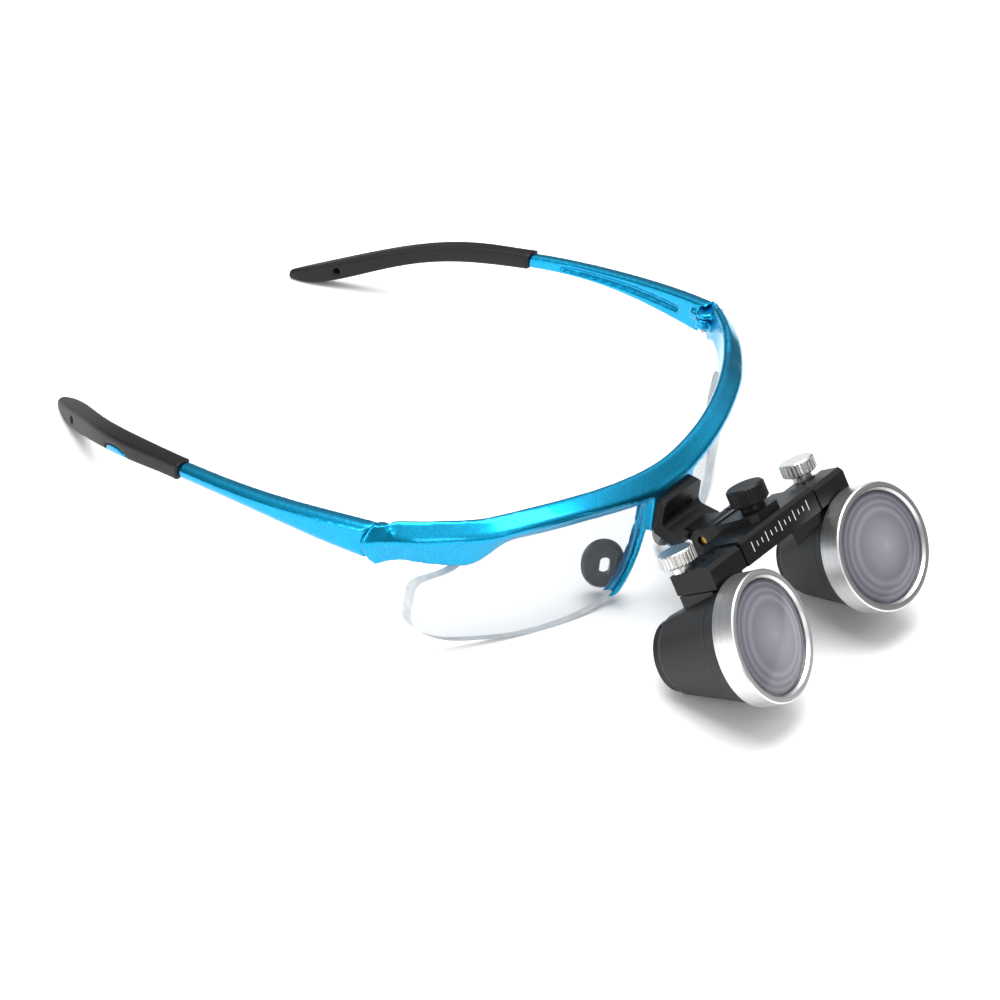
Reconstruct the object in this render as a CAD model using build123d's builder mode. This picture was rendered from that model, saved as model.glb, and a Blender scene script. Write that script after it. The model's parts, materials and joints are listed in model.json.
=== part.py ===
from build123d import *
import math
import os

# Dental loupes: a wrap-round spectacle front with folding temples, and two magnifying
# barrels on a cross bar that flips up on a hinge in front of the nose bridge.
# Millimetres. +X is the wearer's left, the front looks along -Y, +Z is up.
# The origin is the middle of the footprint, on the surface that the loupes stand on.
os.makedirs("parts", exist_ok=True)

# Driving dimensions. "Head" places are measured from the middle of the line that joins
# the two temple hinges.
hinge_y = -14.3
hinge_z = 30.74
hinge_x = 64.6
flip_pitch = 36.0
pin_y = -49.9
pin_z = -6.0

lens_thickness = 1.8
lens_front_gap = 0.3
lens_tilt = 0.05
brow_inner = 1.1

temple_gap = 0.3
knuckle_radius = 2.1
knuckle_gap = 0.3
tongue_half = 1.1
lug_inner = 1.3
lug_outer = 2.9
hinge_screw_radius = 0.7
hinge_screw_head = 1.15
hinge_screw_head_height = 0.8
screw_end = 2.5
pivot_clearance = 0.05
end_round = 8.0
end_round_y = -6.6
end_round_z = -1.0
fold_clear_x = 64.75
fold_clear_y = -0.4

bracket_half = 7.5
lug_half = 4.2
fork_inner = 4.5
fork_outer = 7.4
pin_radius = 1.25
bush_radius = 2.0
fork_radius = 3.0
lug_radius = 2.9

bar_half = 15.2
bar_front = 17.65
bar_rear = 5.6
bar_top = 1.0
bar_bottom = -5.2
rod_radius = 1.0
rod_height = -2.4
rear_rod_reach = 8.0
front_rod_reach = 14.6
rod_half_length = 26.6

carriage_inner = 15.8
carriage_outer = 27.9
carriage_top = 0.5
carriage_step = -0.2
carriage_bottom = -5.0
foot_front = 16.0
foot_depth = 9.0
foot_seam = 0.35
foot_screw_reach = 11.3
foot_screws_x = (19.0, 23.0)
foot_screw_radius = 0.8
foot_screw_head = 1.4
foot_screw_seat = -1.5
foot_screw_depth = 1.6

lock_x = 25.2
lock_reach = 7.6
lock_radius = 4.4
lock_top = 5.1
lock_knurl = 3.4
lock_stem = 1.2
shoe_height = 0.6
shoe_width = 2.2
shoe_inner_x = 17.2
shoe_outer_x = 26.4
shoe_lift = 0.03

knob_reach = 12.0
knob_radius = 4.7
knob_top = 9.2
knob_knurl = 4.4
knob_stem = 1.6

barrel_height = -19.5
barrel_front_x = 23.7
barrel_front = 24.1
barrel_length = 28.2
convergence = 6.04
bezel_radius = 15.35
bezel_length = 5.6
glass_radius = 13.4
glass_seat = 13.7
glass_front = 1.0
glass_crown = 0.6
neck_radius = 14.2
eye_seat = 7.0
housing_front_radius = 14.7
housing_rear_radius = 9.0
eyepiece_radius = 8.4
eyepiece_length = 1.9
body_back = barrel_length - eyepiece_length
eye_front = -body_back + 2.4


def head(x, y, z):
    """A place measured from the middle of the hinge line."""
    return Vector(x, hinge_y + y, hinge_z + z)


def head_plane(x, y, z, normal, x_dir):
    return Plane(origin=head(x, y, z), x_dir=x_dir, z_dir=normal)


pitch = math.radians(flip_pitch)
optics = Plane(
    origin=head(0, pin_y, pin_z),
    x_dir=(1, 0, 0),
    z_dir=(0, math.sin(pitch), math.cos(pitch)),
)


def in_optics(x, reach, height):
    """A place on the flip unit: sideways, forward of the flip pin, and above it."""
    return optics.from_local_coords(Vector(x, -reach, height))


def optics_up(x, reach, height):
    """A plane on the flip unit that faces its upper side."""
    return Plane(origin=in_optics(x, reach, height), x_dir=(1, 0, 0), z_dir=optics.z_dir)


def optics_side(x):
    """A plane across the flip unit, facing +X, with local x forward and local y up."""
    return Plane(origin=in_optics(x, 0, 0), x_dir=-optics.y_dir, z_dir=(-1, 0, 0))


def dome(radius, crown, edge):
    """Half of a lens face: an arc about the axis from the crown out to the edge."""
    sag = edge - crown
    bend = (radius ** 2 + sag ** 2) / (2 * abs(sag))
    half_sag = bend - math.sqrt(bend ** 2 - (radius / 2) ** 2)
    middle = crown + math.copysign(half_sag, sag)
    ThreePointArc((0, crown), (radius / 2, middle), (radius, edge))


def finish(piece, name):
    """Label a finished piece and write it out."""
    piece.part.label = name
    export_step(piece.part, f"parts/{name}.step")


sides = (("right", -1), ("left", 1))
stand = (Align.CENTER, Align.CENTER, Align.MIN)
hang = (Align.CENTER, Align.CENTER, Align.MAX)

# ---------------------------------------------------------------- spectacle front
# Plan of the brow bar from the bridge to a hinge: half width and depth.
half_plan = [
    (0.0, -31.9),
    (10.0, -31.2),
    (22.0, -28.9),
    (35.0, -24.3),
    (46.0, -18.9),
    (54.0, -13.9),
    (61.4, -7.5),
    (64.4, -3.3),
    (66.0, 2.4),
    (66.1, 8.0),
]
brow_step = 3.0
brow_steps = 22


def ease(value, start, end):
    """Goes smoothly from 0 at the start to 1 at the end."""
    share = min(max((value - start) / (end - start), 0), 1)
    return share * share * (3 - 2 * share)


def brow_heights(x):
    """Ridge, front edge and underside of the brow bar, and its forward reach, at a half width."""
    ridge = 4.6 + 1.3 * ease(x, 0, 32) - 1.6 * ease(x, 36, 66)
    edge = 0.2 + 3.2 * ease(x, 0, 30) - 3.0 * ease(x, 36, 64)
    lobe = ease(x, 43, 53.5) - 0.24 * ease(x, 53.5, 67)
    under = -2.6 + 2.9 * ease(x, 0, 30) - 6.6 * lobe
    reach = 4.8 - 1.4 * ease(x, 40, 66)
    return ridge, edge, under, reach


with BuildLine() as brow_curve:
    Spline(
        *[head(-x, y, 0) for x, y in reversed(half_plan)],
        *[head(x, y, 0) for x, y in half_plan[1:]],
    )
brow_edge = brow_curve.edges()[0]


def brow_along(half_width, side):
    """The point of the brow curve at a half width, and the curve's direction there."""
    low = 0.5
    high = 1.0
    for _ in range(40):
        middle = (low + high) / 2
        if (brow_edge @ middle).X < half_width:
            low = middle
        else:
            high = middle
    point = brow_edge @ low
    along = brow_edge % low
    return Vector(side * point.X, point.Y, point.Z), Vector(along.X, side * along.Y, 0)


def brow_plane(half_width, side):
    """A plane across the brow bar: local x points back at the face, local y is up."""
    point, along = brow_along(half_width, side)
    return Plane(origin=point, x_dir=(-along.Y, along.X, 0), z_dir=along)


def brow_section(ridge, edge, under, reach):
    """Section of the brow bar: a sloping main face over a drawn-in underside."""
    return [
        (brow_inner, under + 0.9),
        (brow_inner, ridge - 0.9),
        (brow_inner - 0.7, ridge - 0.1),
        (brow_inner - 1.5, ridge),
        (-reach + 0.5, edge + 1.1),
        (-reach, edge),
        (-reach + 1.7, under),
        (brow_inner - 0.8, under),
    ]


# Each lens is a sheet that follows the brow bar and leans back towards its lower edge.
lens_half_widths = [4.5, 14.0, 24.0, 34.0, 44.0, 53.0, 59.0, 63.5]


def make_lens(side):
    """One clear lens: a curved sheet cut to its outline."""
    back = []
    front = []
    for half_width in lens_half_widths:
        point, along = brow_along(half_width, side)
        outward = Vector(along.Y, -along.X, 0)
        back.append(point + outward * lens_front_gap)
        front.append(point + outward * (lens_front_gap + lens_thickness))
    height = 40
    lift = Vector(0, -8 * lens_tilt, 8)
    with BuildPart() as lens:
        with BuildSketch(Plane.XY.offset(hinge_z + 8)):
            with BuildLine():
                inner = Spline(*[Vector(p.X, p.Y + lift.Y) for p in back])
                outer = Spline(*[Vector(p.X, p.Y + lift.Y) for p in front])
                Line(inner @ 0, outer @ 0)
                Line(inner @ 1, outer @ 1)
            make_face()
        extrude(amount=height + 8, dir=(0, lens_tilt, -1))
        with BuildSketch(head_plane(0, 0, 0, (0, side, 0), (-side, 0, 0))):
            with BuildLine():
                lower = Spline(
                    (-54.6, -5.4),
                    (-57.0, -7.6),
                    (-61.4, -10.2),
                    (-62.2, -15.4),
                    (-61.6, -22.6),
                    (-57.6, -26.6),
                    (-48.6, -29.0),
                    (-39.0, -30.4),
                    (-29.0, -30.6),
                    (-20.0, -30.0),
                    (-13.4, -27.8),
                    (-9.2, -22.4),
                    (-7.2, -14.6),
                )
                Polyline(
                    lower @ 1,
                    (-6.6, -1.2),
                    (-12.0, 1.2),
                    (-22.0, 2.4),
                    (-35.0, 2.9),
                    (-46.0, 2.2),
                    (-54.6, 0.0),
                    lower @ 0,
                )
            make_face()
        extrude(amount=80, both=True, mode=Mode.INTERSECT)
    return lens


lenses = {}
for name, side in sides:
    lenses[name] = make_lens(side)
    finish(lenses[name], f"{name}_lens")

# Where a temple meets the front, the end of the front is rounded as seen from the side.
with BuildPart() as front_end_cutter:
    with BuildSketch(Plane.YZ.offset(-90)):
        with Locations((hinge_y + end_round_y + 9, hinge_z + end_round_z)):
            Rectangle(18, 24)
        with Locations((hinge_y + end_round_y, hinge_z + end_round_z)):
            Circle(end_round, mode=Mode.SUBTRACT)
    extrude(amount=180)

bridge_half = 8.0
bridge_front = -36.3
bridge_rear = -34.0
screw_x = 3.75
screw_z = -5.4
# Nasal arm stations: half width, depth, height, and width of the strip.
nasal_stations = [
    (7.2, -33.0, -1.0, 1.8),
    (7.2, -32.9, -4.0, 1.8),
    (7.3, -32.5, -12.0, 1.9),
    (8.6, -31.95, -19.0, 2.2),
    (11.0, -31.3, -24.6, 2.8),
    (13.6, -30.7, -27.8, 3.4),
]

with BuildPart() as front_frame:
    for step in range(-brow_steps, brow_steps + 1):
        side = -1 if step < 0 else 1
        half_width = abs(step) * brow_step
        with BuildSketch(brow_plane(half_width, side)):
            Polygon(*brow_section(*brow_heights(half_width)), align=None)
    loft()
    # Bridge behind the mount bracket.
    with BuildSketch(head_plane(0, bridge_rear, 0, (0, -1, 0), (1, 0, 0))):
        with Locations((0, -4.6)):
            RectangleRounded(2 * bridge_half, 12.4, 2.0)
    extrude(amount=bridge_rear - bridge_front)
    # Nasal arms, down the inner edge of each lens.
    for side in (-1, 1):
        for x, y, z, width in nasal_stations:
            with BuildSketch(Plane(origin=head(side * x, y, z), x_dir=(1, 0, 0), z_dir=(0, 0, -1))):
                RectangleRounded(width, 3.4, 0.5)
        loft()
    # Rounded ends, hinge lugs and the hollow that the temple's tongue turns in.
    add(front_end_cutter.part, mode=Mode.SUBTRACT)
    for side in (-1, 1):
        with BuildSketch(Plane(origin=head(side * (fold_clear_x - 3), fold_clear_y + 3, -12))):
            Rectangle(6, 6)
        extrude(amount=24, mode=Mode.SUBTRACT)
        with BuildSketch(Plane(origin=head(side * hinge_x, 0, -lug_outer))):
            Circle(knuckle_radius)
            with Locations((side * 1.2, -2.2)):
                Rectangle(2.4, 4.4)
        extrude(amount=2 * lug_outer)
        with BuildSketch(Plane(origin=head(side * hinge_x, 0, -lug_inner))):
            Circle(knuckle_radius + knuckle_gap)
        extrude(amount=2 * lug_inner, mode=Mode.SUBTRACT)
        with BuildSketch(Plane(origin=head(side * hinge_x, 0, screw_end))):
            Circle(hinge_screw_radius)
        extrude(amount=-8, mode=Mode.SUBTRACT)
        with BuildSketch(Plane(origin=head(side * hinge_x, 0, hinge_screw_head_height - lug_outer))):
            Circle(hinge_screw_head)
        extrude(amount=-6, mode=Mode.SUBTRACT)
    # Holes for the two mount screws.
    with BuildSketch(head_plane(0, bridge_front - 1, screw_z, (0, 1, 0), (1, 0, 0))):
        with Locations((-screw_x, 0), (screw_x, 0)):
            Circle(0.7)
    extrude(amount=6, mode=Mode.SUBTRACT)
    for lens in lenses.values():
        add(lens.part, mode=Mode.SUBTRACT)
finish(front_frame, "front_frame")

# ---------------------------------------------------------------- temples
# Temple stations behind the hinge: depth, half width of the spectacles there, upper
# edge, lower edge, and half the thickness.
temple_stations = [
    (-0.8, 67.05, 4.2, -4.8, 2.15),
    (12.0, 68.9, 2.2, -5.2, 2.15),
    (28.0, 70.0, -0.8, -5.8, 2.1),
    (44.0, 69.6, -3.8, -7.6, 2.0),
    (56.2, 68.3, -6.3, -9.9, 2.0),
]
core_stations = [
    (56.0, 68.3, -7.0, -9.2, 1.1),
    (72.0, 65.7, -10.6, -13.0, 1.0),
    (88.0, 60.7, -15.8, -18.0, 0.9),
    (101.0, 53.8, -21.8, -23.8, 0.8),
]
tip_stations = [
    (56.2, 68.3, -5.9, -10.3, 2.5),
    (72.0, 65.7, -9.4, -14.1, 2.6),
    (88.0, 60.7, -14.4, -19.4, 2.7),
    (102.0, 53.2, -20.4, -26.2, 2.7),
    (112.0, 47.6, -25.2, -30.2, 2.5),
    (118.4, 44.6, -28.3, -30.6, 1.3),
]
groove_stations = [
    (9.0, 66.5, -1.5, 1.4, 0.9),
    (28.0, 67.95, -3.25, 1.6, 1.1),
    (47.0, 67.4, -6.35, 1.1, 1.0),
]
inlay_y = 79.5
inlay_z = -15.6
strap_y = 106.0
strap_z = -25.2
strap_radius = 0.9


def across(y):
    """A plane across a temple: local x is +X and local y is up."""
    return Plane(origin=(0, hinge_y + y, 0), x_dir=(1, 0, 0), z_dir=(0, -1, 0))


def temple_section(side, x, top, bottom, half):
    """Section of a temple: a crease along the outer face and softened edges."""
    low = hinge_z + bottom
    high = hinge_z + top
    outline = [
        (x - half, low + 0.6),
        (x - half, high - 0.6),
        (x - half + 0.6, high),
        (x + half - 1.2, high),
        (x + half, high - 1.2),
        (x + half, low + 1.5),
        (x + half - 0.9, low),
        (x - half + 0.6, low),
    ]
    return [(side * a, b) for a, b in outline]


def make_temple(side):
    """The painted temple arm with its hinge tongue and the core inside its tip."""
    with BuildPart() as inlay:
        for y, x, top, bottom, half in tip_stations:
            with BuildSketch(across(y)):
                with Locations((side * x, hinge_z + (top + bottom) / 2)):
                    RectangleRounded(2 * half, top - bottom, 0.9)
        loft()
        with BuildSketch(Plane.YZ):
            with Locations(Location((hinge_y + inlay_y, hinge_z + inlay_z, 0), -16)):
                Ellipse(4.7, 1.55)
        extrude(amount=side * 80, mode=Mode.INTERSECT)
        with BuildSketch(Plane.XY):
            with Locations((side * (inlay_x_inner - 30), hinge_y + inlay_y)):
                Rectangle(60, 30)
        extrude(amount=80, mode=Mode.SUBTRACT)
    with BuildPart() as temple:
        for y, x, top, bottom, half in temple_stations:
            with BuildSketch(across(y)):
                Polygon(*temple_section(side, x, top, bottom, half), align=None)
        loft()
        for y, x, z, height, depth in groove_stations:
            with BuildSketch(across(y)):
                with Locations((side * x, hinge_z + z)):
                    Rectangle(2 * depth, height)
        loft(mode=Mode.SUBTRACT)
        for y, x, top, bottom, half in core_stations:
            with BuildSketch(across(y)):
                with Locations((side * x, hinge_z + (top + bottom) / 2)):
                    RectangleRounded(2 * half, top - bottom, 0.6)
        loft()
        add(inlay.part)
        with BuildSketch(Plane.YZ):
            with Locations((hinge_y + end_round_y, hinge_z + end_round_z)):
                Circle(end_round + temple_gap)
        extrude(amount=side * 80, mode=Mode.SUBTRACT)
        pivot = head(side * hinge_x, 0, 0)
        with BuildSketch(Plane(origin=pivot - Vector(0, 0, 10))):
            Circle(knuckle_radius + knuckle_gap)
        extrude(amount=10 + lug_outer + temple_gap, mode=Mode.SUBTRACT)
        with BuildSketch(Plane(origin=pivot - Vector(0, 0, tongue_half))):
            Circle(knuckle_radius)
            with Locations((side * 0.8, 2.2)):
                Rectangle(1.6, 4.4)
            Circle(hinge_screw_radius + pivot_clearance, mode=Mode.SUBTRACT)
        extrude(amount=2 * tongue_half)
    return temple


def make_temple_tip(side, temple):
    """The rubber sleeve on the end of a temple."""
    with BuildPart() as tip:
        for y, x, top, bottom, half in tip_stations:
            with BuildSketch(across(y)):
                with Locations((side * x, hinge_z + (top + bottom) / 2)):
                    RectangleRounded(2 * half, top - bottom, 0.9)
        loft()
        with BuildSketch(Plane.YZ):
            with Locations((hinge_y + strap_y, hinge_z + strap_z)):
                Circle(strap_radius)
        extrude(amount=side * 80, mode=Mode.SUBTRACT)
        add(temple.part, mode=Mode.SUBTRACT)
    return tip


inlay_x_inner = 63.6
for name, side in sides:
    temple = make_temple(side)
    finish(temple, f"{name}_temple")
    temple_tip = make_temple_tip(side, temple)
    finish(temple_tip, f"{name}_temple_tip")
    with BuildPart() as hinge_screw:
        pivot = head(side * hinge_x, 0, 0)
        with BuildSketch(Plane(origin=pivot + Vector(0, 0, screw_end))):
            Circle(hinge_screw_radius)
        extrude(amount=-screw_end - lug_outer)
        with BuildSketch(Plane(origin=pivot - Vector(0, 0, lug_outer))):
            Circle(hinge_screw_head)
        extrude(amount=hinge_screw_head_height)
        with BuildSketch(Plane(origin=pivot - Vector(0, 0, lug_outer))):
            Rectangle(3, 0.35)
        extrude(amount=0.35, mode=Mode.SUBTRACT)
    finish(hinge_screw, f"{name}_hinge_screw")

# ---------------------------------------------------------------- nose pads
pad_length = 13.6
pad_depth = 8.6
pad_thickness = 2.6
for name, side in sides:
    with BuildPart() as nose_pad:
        flare = Vector(side * 5.6, 7.2, 0).normalized()
        face = flare.cross(Vector(0, 0, 1))
        pad_plane = Plane(origin=head(side * 12.3, -27.0, -21.6), x_dir=flare, z_dir=face)
        with BuildSketch(pad_plane):
            Ellipse(pad_depth / 2 + 0.9, pad_length / 2)
        extrude(amount=pad_thickness / 2, both=True)
        chamfer(nose_pad.edges().filter_by(GeomType.ELLIPSE), length=0.7)
        with BuildSketch(pad_plane):
            with Locations((-0.4, -0.4)):
                SlotOverall(6.0, 2.4, rotation=90)
        extrude(amount=pad_thickness, both=True, mode=Mode.SUBTRACT)
        add(front_frame.part, mode=Mode.SUBTRACT)
        add(lenses[name].part, mode=Mode.SUBTRACT)
    finish(nose_pad, f"{name}_nose_pad")

# ---------------------------------------------------------------- mount bracket
flange_front = -38.7
leg_end = -44.7
leg_top = -7.6
with BuildPart() as mount_bracket:
    with BuildSketch(Plane.YZ.offset(-bracket_half)):
        with BuildLine(Location((hinge_y, hinge_z, 0))):
            Polyline(
                (bridge_front, -0.8),
                (flange_front, -0.8),
                (flange_front, leg_top),
                (leg_end, leg_top),
                (leg_end, -9.4),
                (-42.0, -11.2),
                (bridge_front - 0.8, -10.2),
                (bridge_front, -9.4),
                (bridge_front, -0.8),
            )
        make_face()
    extrude(amount=2 * bracket_half)
    inside_corner = mount_bracket.edges().filter_by(Axis.X).sort_by_distance(
        head(0, flange_front, leg_top)
    )[0]
    fillet(inside_corner, radius=1.5)
    top_corners = mount_bracket.edges().filter_by(Axis.Y).group_by(Axis.Z)[-1]
    chamfer(top_corners, length=1.0)
    # The lug that the flip pin goes through.
    with BuildSketch(Plane.YZ.offset(-lug_half)):
        with BuildLine(Location((hinge_y, hinge_z, 0))):
            Polyline(
                (pin_y, pin_z + lug_radius),
                (leg_end + 2.0, leg_top),
                (leg_end + 2.0, -10.4),
                (pin_y + 0.9, pin_z - lug_radius + 0.15),
                (pin_y, pin_z + lug_radius),
            )
        make_face()
        with Locations((hinge_y + pin_y, hinge_z + pin_z)):
            Circle(lug_radius)
    extrude(amount=2 * lug_half)
    with BuildSketch(Plane.YZ.offset(-lug_half)):
        with Locations((hinge_y + pin_y, hinge_z + pin_z)):
            Circle(pin_radius)
    extrude(amount=2 * lug_half, mode=Mode.SUBTRACT)
    with BuildSketch(head_plane(0, flange_front - 1, screw_z, (0, 1, 0), (1, 0, 0))):
        with Locations((-screw_x, 0), (screw_x, 0)):
            Circle(0.7)
    extrude(amount=6, mode=Mode.SUBTRACT)
    with BuildSketch(head_plane(0, flange_front + 0.8, screw_z, (0, -1, 0), (1, 0, 0))):
        with Locations((-screw_x, 0), (screw_x, 0)):
            Circle(1.35)
    extrude(amount=3, mode=Mode.SUBTRACT)
finish(mount_bracket, "mount_bracket")

plate_rear = bridge_rear + 1.2
with BuildPart() as bridge_nut_plate:
    with BuildSketch(head_plane(0, bridge_rear, screw_z, (0, 1, 0), (1, 0, 0))):
        SlotOverall(12.4, 4.0)
        with Locations((-screw_x, 0), (screw_x, 0)):
            Circle(0.7, mode=Mode.SUBTRACT)
    extrude(amount=plate_rear - bridge_rear)
finish(bridge_nut_plate, "bridge_nut_plate")

with BuildPart() as mount_screws:
    for x in (-screw_x, screw_x):
        with BuildSketch(head_plane(x, flange_front + 0.8, screw_z, (0, 1, 0), (1, 0, 0))):
            Circle(0.7)
        extrude(amount=plate_rear - flange_front - 0.8)
        with BuildSketch(head_plane(x, flange_front + 0.8, screw_z, (0, -1, 0), (1, 0, 0))):
            Circle(1.25)
            RegularPolygon(0.6, 6, mode=Mode.SUBTRACT)
        extrude(amount=0.9)
finish(mount_screws, "mount_screws")

# ---------------------------------------------------------------- flip hinge and arm
with BuildPart() as flip_pin:
    with BuildSketch(optics_side(fork_outer - 0.9)):
        Circle(pin_radius)
    extrude(amount=2 * (fork_outer - 0.9))
    chamfer(flip_pin.edges().filter_by(GeomType.CIRCLE), length=0.25)
finish(flip_pin, "flip_pin")

for name, side in sides:
    with BuildPart() as flip_bush:
        with BuildSketch(optics_side(side * fork_outer)):
            Circle(bush_radius)
            Circle(pin_radius + 0.03, mode=Mode.SUBTRACT)
        extrude(amount=side * (fork_outer - fork_inner))
    finish(flip_bush, f"{name}_flip_bush")

arm_bottom = -2.4
tongue_reach = bar_rear
with BuildPart() as flip_arm:
    # Side profile of the fork plates, with the square stop corner below the pin.
    for side in (-1, 1):
        with BuildSketch(optics_side(side * fork_outer)):
            Circle(fork_radius)
            with BuildLine():
                Polyline(
                    (-2.9, 0),
                    (-3.7, -3.2),
                    (-2.6, -3.3),
                    (-1.2, arm_bottom),
                    (tongue_reach, arm_bottom),
                    (tongue_reach, 3.4),
                    (1.2, 2.8),
                    (-2.9, 0),
                )
            make_face()
        extrude(amount=side * (fork_outer - fork_inner))
    # The solid neck between the fork and the cross bar.
    with BuildSketch(optics_side(fork_outer)):
        with BuildLine():
            Polyline(
                (4.0, arm_bottom),
                (tongue_reach, arm_bottom),
                (tongue_reach, 3.4),
                (4.0, 3.1),
                (4.0, arm_bottom),
            )
        make_face()
    extrude(amount=2 * fork_outer)
    # The deck over the cross bar that the centre knob clamps down.
    with BuildSketch(optics_up(0, 0, bar_top)):
        with BuildLine():
            Polyline(
                (-fork_outer, -3.0),
                (-fork_outer, -tongue_reach),
                (-5.6, -14.4),
                (-4.0, -16.0),
                (4.0, -16.0),
                (5.6, -14.4),
                (fork_outer, -tongue_reach),
                (fork_outer, -3.0),
                (-fork_outer, -3.0),
            )
        make_face()
    extrude(amount=2.1)
    with BuildSketch(optics_side(fork_inner - 0.01)):
        Circle(lug_radius + 0.4)
    extrude(amount=2 * (fork_inner - 0.01), mode=Mode.SUBTRACT)
    with BuildSketch(optics_side(20)):
        Circle(bush_radius)
    extrude(amount=40, mode=Mode.SUBTRACT)
    with BuildSketch(optics_up(0, knob_reach, 0)):
        Circle(1.6)
    extrude(amount=8, mode=Mode.SUBTRACT)
finish(flip_arm, "flip_arm")

# ---------------------------------------------------------------- cross bar and rods
deck_top = bar_top + 2.1
with BuildPart() as cross_bar:
    with BuildSketch(optics_side(bar_half)):
        with Locations(((bar_rear + bar_front) / 2, (bar_top + bar_bottom) / 2)):
            Rectangle(bar_front - bar_rear, bar_top - bar_bottom)
    extrude(amount=2 * bar_half)
    long_edges = cross_bar.edges().filter_by(Axis.X)
    chamfer(long_edges.sort_by_distance(in_optics(0, bar_front, bar_top))[0], length=0.8)
    # Rods are pressed into one long bore each.
    for reach in (rear_rod_reach, front_rod_reach):
        with BuildSketch(Plane(origin=in_optics(bar_half, reach, rod_height), z_dir=(-1, 0, 0))):
            Circle(rod_radius)
        extrude(amount=2 * bar_half, mode=Mode.SUBTRACT)
    # Threaded hole for the centre knob.
    with BuildSketch(optics_up(0, knob_reach, bar_top)):
        Circle(1.1)
    extrude(amount=-5.0, mode=Mode.SUBTRACT)
    # Scale ticks engraved in the front face.
    for tick in range(-6, 7):
        tall = 2.6 if tick % 3 == 0 else 1.4
        plane = Plane(origin=in_optics(tick * 1.9, bar_front, -2.1), x_dir=(1, 0, 0), z_dir=optics.y_dir)
        with BuildSketch(plane):
            Rectangle(0.34, tall)
        extrude(amount=0.25, mode=Mode.SUBTRACT)
finish(cross_bar, "cross_bar")

for name, reach in (("rear", rear_rod_reach), ("front", front_rod_reach)):
    with BuildPart() as guide_rod:
        with BuildSketch(Plane(origin=in_optics(rod_half_length, reach, rod_height), z_dir=(-1, 0, 0))):
            Circle(rod_radius)
        extrude(amount=2 * rod_half_length)
    finish(guide_rod, f"{name}_guide_rod")


def knurl(radius, count, depth, height):
    """Straight knurling: shallow notches cut around a head that stands on local z."""
    with PolarLocations(radius, count):
        Cylinder(depth, height, align=stand, mode=Mode.SUBTRACT)


with BuildPart(optics_up(0, knob_reach, knob_top - knob_knurl)) as centre_knob:
    Cylinder(knob_radius, knob_knurl, align=stand)
    chamfer(centre_knob.edges().filter_by(GeomType.CIRCLE), length=0.5)
    knurl(knob_radius + 0.1, 30, 0.33, knob_knurl)
    with Locations((0, 0, 0)):
        Cylinder(3.0, knob_top - knob_knurl - deck_top - 0.1, align=hang)
    with Locations((0, 0, bar_top - 4.6 - knob_top + knob_knurl)):
        Cylinder(1.05, deck_top - bar_top + 5.0, align=stand)
finish(centre_knob, "centre_knob")

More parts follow.
